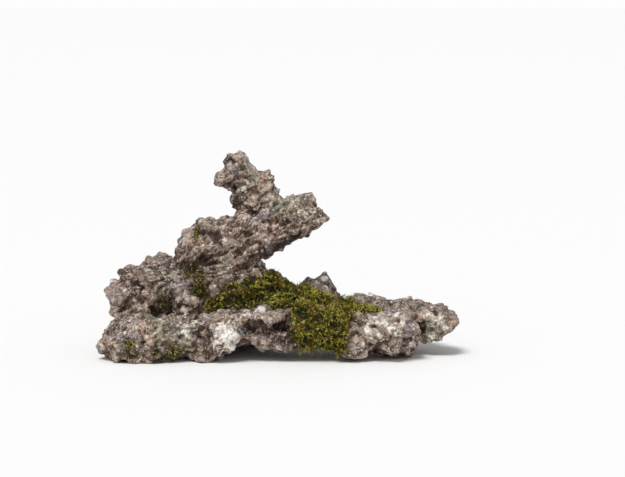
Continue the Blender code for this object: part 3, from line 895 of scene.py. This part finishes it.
def shoot_arrays(roots, ahead, bend, length, tone, rng):
    """Points, triangles and colours of the shoots: each a bent stem with leaves round it."""
    count = len(roots)
    side = unit(np.cross(ahead, rng.normal(size=(count, 3))))
    other = np.cross(ahead, side)
    dead = (rng.random(count) < DEAD_SHARE).astype(float) * rng.uniform(DEAD_LEAST, 1.0, count)

    def stem(along):
        share = along * length[:, None]
        straight = roots[:, None] + ahead[:, None] * share[..., None]
        return straight + bend[:, None] * (along * share)[..., None]

    def round_stem(angle):
        cosine, sine = np.cos(angle)[..., None], np.sin(angle)[..., None]
        return side[:, None] * cosine + other[:, None] * sine

    points, triangles, colours = [], [], []
    # The stem: rings of corners, and a tip
    rings = np.repeat(STEM_RINGS, STEM_SIDES)[None].repeat(count, 0)
    turns = np.arange(STEM_SIDES) * 2 * math.pi / STEM_SIDES
    angle = np.tile(turns, len(STEM_RINGS))[None].repeat(count, 0)
    body = stem(rings) + round_stem(angle) * (STEM_RADIUS * (1 - STEM_TAPER * rings))[..., None]
    end = np.ones((count, 1))
    points.append(np.concatenate((body, stem(end)), axis=1))
    heights = np.concatenate((rings, end), axis=1)
    colours.append(moss_colours(tone[:, None], heights, dead[:, None]))
    for ring in range(len(STEM_RINGS) - 1):
        for i in range(STEM_SIDES):
            a, b = STEM_SIDES * ring + i, STEM_SIDES * ring + (i + 1) % STEM_SIDES
            triangles += [(a, b, b + STEM_SIDES), (a, b + STEM_SIDES, a + STEM_SIDES)]
    last = STEM_SIDES * (len(STEM_RINGS) - 1)
    tip = last + STEM_SIDES
    triangles += [(last + i, last + (i + 1) % STEM_SIDES, tip) for i in range(STEM_SIDES)]
    # The stem's foot
    triangles += [(0, 2, 1)]

    # The leaves: thin pointed wedges, more upright and shorter towards the tip
    for leaf in range(LEAVES):
        place = leaf + rng.uniform(-LEAF_ASTRAY, LEAF_ASTRAY, (count, 1))
        along = LEAF_START + LEAF_SPAN * place / (LEAVES - 1)
        turn = leaf * GOLDEN_ANGLE + rng.uniform(-LEAF_TURN, LEAF_TURN, (count, 1))
        out, across = round_stem(turn), round_stem(turn + math.pi / 2)
        astray = rng.uniform(-LEAF_LEAN_ASTRAY, LEAF_LEAN_ASTRAY, (count, 1))
        lean = np.radians(LEAF_LEAN - LEAF_LESS_LEAN * along + astray)[..., None]
        way = unit(ahead[:, None] * np.cos(lean) + out * np.sin(lean))
        chance = rng.uniform(LEAF_LEAST, LEAF_MOST, (count, 1))
        long = (LEAF_LENGTH * (LEAF_LONGEST - LEAF_SHORTER * along) * chance)[..., None]
        by_shoot = np.clip(length / FULL_SHOOT, SHORT_SHOOT_SHARE, LONG_SHOOT_SHARE)
        long = long * by_shoot[:, None, None]
        foot = stem(along)
        under = unit(np.cross(way, across)) * LEAF_THICKNESS
        wide = across * LEAF_WIDTH / 2
        heart = foot + way * long * LEAF_WIDEST
        curl = -LEAF_CURL * long * ahead[:, None]
        point = foot + way * long + curl
        points.append(np.concatenate((foot - under, heart + wide, heart - wide, point), axis=1))
        start = tip + 1 + len(LEAF_SHADES) * leaf
        triangles += [(start, start + 1, start + 2), (start + 1, start + 3, start + 2)]
        triangles += [(start, start + 3, start + 1), (start, start + 2, start + 3)]
        shade = np.concatenate([along + paler for paler in LEAF_SHADES], axis=1)
        colours.append(moss_colours(tone[:, None], shade, dead[:, None]))
    points, colours = np.concatenate(points, axis=1), np.concatenate(colours, axis=1)
    each = points.shape[1]
    triangles = np.array(triangles)[None] + (np.arange(count) * each)[:, None, None]
    keep_above_floor(points)
    return points.reshape(-1, 3), triangles.reshape(-1, 3), colours.reshape(-1, 3)


def make_shoots(name, node, skin_tree, ground, fullness, material, rng):
    """The shoots of one growth of moss, in pieces of a bearable size."""
    tops = spread(top_samples(node, rng), SHOOT_GAP)
    shoots = shoots_on(tops, skin_tree, ground, fullness, rng)
    order = np.argsort(shoots[0][:, 0])
    parts = max(1, math.ceil(len(order) / SHOOTS_A_PIECE))
    made = []
    for i, chosen in enumerate(np.array_split(order, parts)):
        points, triangles, colours = shoot_arrays(*(values[chosen] for values in shoots), rng)
        title = f"{name}_{i + 1}" if parts > 1 else name
        mesh = mesh_of(title, points, triangles)
        add_colours(mesh, "tint", colours)
        mesh.materials.append(material)
        made.append(new_object(title, mesh))
    return made


def make_mat(name, node, stone_tree, skin_tree, ground, fullness, material):
    """The dense low part of a growth: old stems and soil, which the shoots stand in."""
    mat = welded_copy(name, node)
    remesh(mat, MAT_VOXEL)
    points = read_points(mat.data)
    outer = np.array([stone_tree.find_nearest(p)[3] for p in points]) > MAT_FOOT
    found = [skin_tree.find_nearest(p)[:2] for p in points]
    roots, ways = (np.array(column) for column in zip(*found))
    rise = np.linalg.norm(points - roots, axis=1)
    lumpy = noise_at(points, MAT_LUMP_MM) + MAT_GRAIN * noise_at(points, MAT_GRAIN_MM, 1)
    bald, gaps, sparse = bareness(roots, points, ground, fullness)
    top = rise * MAT_SHARE * lowered(roots, ground.low) + MAT_ROUGHNESS_MM * MM * lumpy
    top = top - bald * BALD_DEPTH_MM * MM
    top = top - (gaps * GAP_DEPTH_MM * MM + SPARSE_DEPTH_MM * MM * sparse)
    height = np.where(outer, top, -MAT_ROOT)
    places = roots + ways * height[:, None]
    keep_above_floor(places)
    write_points(mat.data, places)
    along = smooth(MAT_SOIL_MM, MAT_GREEN_MM, height / MM + noise_at(points, MAT_TINT_MM, 2))
    add_colours(mat.data, "tint", mixed(linear(MOSS_SOIL), MOSS_DARK, along))
    mat.data.materials.clear()
    mat.data.materials.append(material)
    return mat


def make_studio():
    """A pale floor, a white surrounding, soft light and the camera."""
    bpy.ops.mesh.primitive_plane_add(size=FLOOR_SIZE, location=(0, 0, 0))
    floor = bpy.context.object
    floor.name = "floor"
    paper = Nodes("paper")
    paper.shader.inputs["Base Color"].default_value = (FLOOR_WHITE, FLOOR_WHITE, FLOOR_WHITE, 1.0)
    paper.shader.inputs["Roughness"].default_value = FLOOR_ROUGHNESS
    floor.data.materials.append(paper.material)

    world = bpy.data.worlds.new("white")
    bpy.context.scene.world = world
    world.use_nodes = True
    background = world.node_tree.nodes["Background"]
    background.inputs["Color"].default_value = (1.0, 1.0, 1.0, 1.0)
    path = world.node_tree.nodes.new("ShaderNodeLightPath")
    strength = world.node_tree.nodes.new("ShaderNodeMapRange")
    strength.inputs["To Min"].default_value = WORLD_LIGHT
    strength.inputs["To Max"].default_value = WORLD_SEEN
    world.node_tree.links.new(path.outputs["Is Camera Ray"], strength.inputs["Value"])
    world.node_tree.links.new(strength.outputs["Result"], background.inputs["Strength"])

    key = bpy.data.lights.new("key", "SUN")
    key.energy, key.angle = KEY_STRENGTH, KEY_SOFTNESS
    light = new_object("key", key)
    light.rotation_euler = KEY_FROM.to_track_quat("Z", "Y").to_euler()
    data = bpy.data.cameras.new("camera")
    data.sensor_width = SENSOR
    data.lens = SENSOR * DISTANCE / (VIEW_WIDTH * PIXEL)
    camera = new_object("camera", data)
    camera.location, ahead = view_ray(VIEW_WIDTH / 2, VIEW_HEIGHT / 2)
    camera.rotation_euler = ahead.to_track_quat("-Z", "Y").to_euler()
    bpy.context.scene.camera = camera
    bpy.context.scene.view_settings.view_transform = "Standard"


def main():
    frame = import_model()
    nodes = frame["nodes"]
    make_studio()

    solid_tree = tree_of(nodes["stone"])
    skin, numbers, holes = make_skin(nodes["stone"], solid_tree)
    skin_tree = tree_of(skin)
    moss_nodes = {name: node for name, node in nodes.items() if name.startswith("moss_")}
    moss_trees = [tree_of(node) for node in moss_nodes.values()]
    colour_stone(skin, numbers, holes, skin_tree, moss_trees)
    skin.data.materials.clear()
    skin.data.materials.append(stone_material())
    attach(skin, "root")
    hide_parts("stone")

    ground = Ground(*(spot_centres(spots, skin_tree) for spots in (BALD, SPARSE, LOW)))
    material = moss_material()
    rng = np.random.default_rng(SEED)
    for name, node in moss_nodes.items():
        fullness = FULLNESS.get(name, FULLNESS_OF_OTHERS)
        mat = make_mat(name + "_mat", node, solid_tree, skin_tree, ground, fullness, material)
        shoots = make_shoots(name + "_shoots", node, skin_tree, ground, fullness, material, rng)
        for piece in (mat, *shoots):
            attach(piece, "root")
            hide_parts(name)


main()
